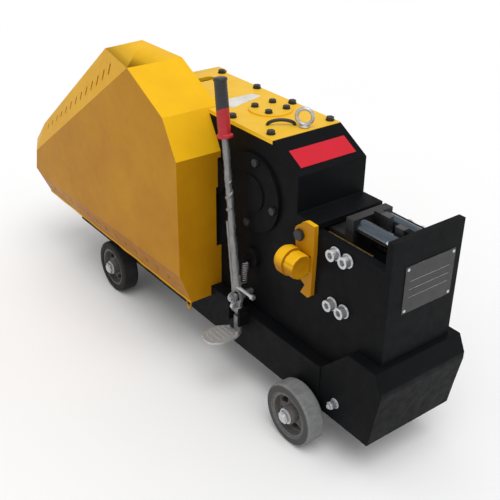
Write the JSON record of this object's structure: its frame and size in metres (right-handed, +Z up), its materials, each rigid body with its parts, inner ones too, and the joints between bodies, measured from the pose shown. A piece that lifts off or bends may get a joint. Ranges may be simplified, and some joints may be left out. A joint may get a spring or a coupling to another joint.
{
  "type": "rebar cutter",
  "caption": "Wheeled motor-driven bar shear: crank-driven ram between two cheeks, gear housing, belt guard, hand lever with pedal, swing-away bar stop.",
  "frame": {"origin": "centre of the footprint at floor level", "axes": "+X runs forward to the cutting head's nose, +Y points away from the operator's side, +Z up"},
  "size_m": [1.55, 0.458, 0.8256],
  "materials": {
    "frame_paint": "satin black enamel, worn on the edges",
    "yellow_sheet": "semi-gloss yellow enamel",
    "yellow_lid": "semi-gloss yellow enamel, sun-faded",
    "badge_red": "gloss red plate",
    "rating_plate": "black plate",
    "polished_rod": "ground and polished",
    "machined_steel": "machined",
    "blade_steel": "hardened, dark with oil",
    "oiled_steel": "dark, oiled",
    "zinc_steel": "zinc plated",
    "dark_bolt": "black oxide",
    "bronze": "cast bronze",
    "gear_steel": "cut teeth, oiled",
    "cast_wheel": "cast, dusty",
    "flywheel_iron": "cast and turned",
    "tyre_front": "solid rubber, scuffed pale",
    "tyre_rear": "solid rubber, dark",
    "motor_paint": "grey-blue enamel",
    "fan_plastic": "moulded",
    "box_plastic": "moulded",
    "belt_rubber": "fabric-backed rubber",
    "lever_steel": "zinc plated, worn",
    "grip_rubber": "ribbed grip with red lower half collar",
    "pedal_steel": "worn bare steel",
    "spring_steel": "drawn wire"
  },
  "bodies": {
    "frame": {"base_frame": "frame_paint", "nose_frame": "frame_paint", "axle_brackets": "frame_paint", "axles": "zinc_steel", "near_cheek": "frame_paint", "far_cheek": "frame_paint", "head_bed": "frame_paint", "front_plate": "frame_paint", "nameplate": "rating_plate", "guide_rods": "polished_rod", "fixed_blade": "blade_steel", "fixed_blade_bolts": "dark_bolt", "gib_strips": "bronze", "gib_bolts": "zinc_steel", "housing_shell": "frame_paint", "near_wall": "frame_paint", "far_wall": "frame_paint", "top_cover": "yellow_lid", "cover_bolts": "dark_bolt", "inspection_cover": "yellow_lid", "eye_bolt": "zinc_steel", "label_plate": "badge_red", "shaft_bushes": "bronze", "bearing_caps": "frame_paint", "cap_bolts": "dark_bolt", "motor_housing": "motor_paint", "fan_cover": "fan_plastic", "terminal_box": "box_plastic", "motor_plate": "frame_paint", "drive_belts": "belt_rubber", "belt_guard": "yellow_sheet", "motor_cover": "yellow_lid", "lever_bracket": "frame_paint", "return_spring": "spring_steel"},
    "front_near_wheel": {"front_near_hub": "cast_wheel", "front_near_tyre": "tyre_front"},
    "front_far_wheel": {"front_far_hub": "cast_wheel", "front_far_tyre": "tyre_front"},
    "rear_near_wheel": {"rear_near_hub": "cast_wheel", "rear_near_tyre": "tyre_rear"},
    "rear_far_wheel": {"rear_far_hub": "cast_wheel", "rear_far_tyre": "tyre_rear"},
    "cutting_ram": {"ram": "oiled_steel", "moving_blade": "blade_steel"},
    "crank": {"crankshaft": "machined_steel"},
    "conrod": {"connecting_rod": "machined_steel"},
    "output_gear": {"bull_gear": "gear_steel"},
    "clutch": {"clutch_sleeve": "gear_steel"},
    "shifter": {"clutch_fork": "machined_steel"},
    "countershaft": {"intermediate_shaft": "gear_steel", "intermediate_gear": "gear_steel"},
    "drive_input": {"input_shaft": "gear_steel", "flywheel": "flywheel_iron"},
    "motor_spindle": {"motor_rotor": "machined_steel", "motor_pulley": "flywheel_iron"},
    "lever": {"hand_lever": "lever_steel", "lever_grip": "grip_rubber", "foot_pedal": "pedal_steel"},
    "bar_stop": {"stop_bracket": "yellow_sheet"},
    "stop_adjuster": {"stop_knob": "yellow_sheet"}
  },
  "joints": [
    {"name": "front_near_wheel_spin", "type": "hinge", "parent": "frame", "child": "front_near_wheel", "pos_m": [0.54, -0.154, 0.081], "axis": [0, 1, 0], "continuous": true},
    {"name": "front_far_wheel_spin", "type": "hinge", "parent": "frame", "child": "front_far_wheel", "pos_m": [0.54, 0.188, 0.081], "axis": [0, 1, 0], "continuous": true},
    {"name": "rear_near_wheel_spin", "type": "hinge", "parent": "frame", "child": "rear_near_wheel", "pos_m": [-0.33, -0.154, 0.081], "axis": [0, 1, 0], "continuous": true},
    {"name": "rear_far_wheel_spin", "type": "hinge", "parent": "frame", "child": "rear_far_wheel", "pos_m": [-0.33, 0.188, 0.081], "axis": [0, 1, 0], "continuous": true},
    {"name": "input_spin", "type": "hinge", "parent": "frame", "child": "drive_input", "pos_m": [-0.04852, -0.151, 0.544], "axis": [0, 1, 0], "continuous": true},
    {"name": "countershaft_spin", "type": "hinge", "parent": "frame", "child": "countershaft", "pos_m": [0.11393, 0.017, 0.54], "axis": [0, 1, 0], "continuous": true},
    {"name": "output_gear_spin", "type": "hinge", "parent": "frame", "child": "output_gear", "pos_m": [0.281, -0.054, 0.552], "axis": [0, 1, 0], "continuous": true},
    {"name": "motor_spin", "type": "hinge", "parent": "frame", "child": "motor_spindle", "pos_m": [-0.507, 0.017, 0.344], "axis": [0, 1, 0], "continuous": true},
    {"name": "crank_spin", "type": "hinge", "parent": "frame", "child": "crank", "pos_m": [0.281, 0.017, 0.552], "axis": [0, 1, 0], "continuous": true},
    {"name": "conrod_pivot", "type": "hinge", "parent": "crank", "child": "conrod", "pos_m": [0.263, 0.017, 0.552], "axis": [0, 1, 0], "continuous": true},
    {"name": "ram_slide", "type": "slide", "parent": "frame", "child": "cutting_ram", "axis": [1, 0, 0], "range_m": [0, 0.036]},
    {"name": "lever_hinge", "type": "hinge", "parent": "frame", "child": "lever", "pos_m": [0.27907, -0.133, 0.229], "axis": [1, 0, 0], "range_deg": [0, 10], "stiffness_Nm_per_rad": 14, "springref_deg": -9.17, "deforming": ["return_spring"]},
    {"name": "shifter_slide", "type": "slide", "parent": "frame", "child": "shifter", "axis": [0, -1, 0], "range_m": [0, 0.0071]},
    {"name": "clutch_slide", "type": "slide", "parent": "crank", "child": "clutch", "axis": [0, -1, 0], "range_m": [0, 0.0071]},
    {"name": "bar_stop_hinge", "type": "hinge", "parent": "frame", "child": "bar_stop", "pos_m": [0.472, -0.096, 0.524], "axis": [0, 1, 0], "range_deg": [0, 40]},
    {"name": "stop_knob_spin", "type": "hinge", "parent": "bar_stop", "child": "stop_adjuster", "pos_m": [0.475, -0.125, 0.46], "axis": [1, 0, 0], "continuous": true}
  ],
  "couplings": [
    {"joint": "countershaft_spin", "follows": "input_spin", "ratio": -0.3},
    {"joint": "output_gear_spin", "follows": "input_spin", "ratio": 0.086538},
    {"joint": "motor_spin", "follows": "input_spin", "ratio": 4},
    {"joint": "conrod_pivot", "follows": "crank_spin", "ratio": -1},
    {"joint": "shifter_slide", "follows": "lever_hinge", "m_per_rad": 0.0405},
    {"joint": "clutch_slide", "follows": "lever_hinge", "m_per_rad": 0.0405}
  ]
}
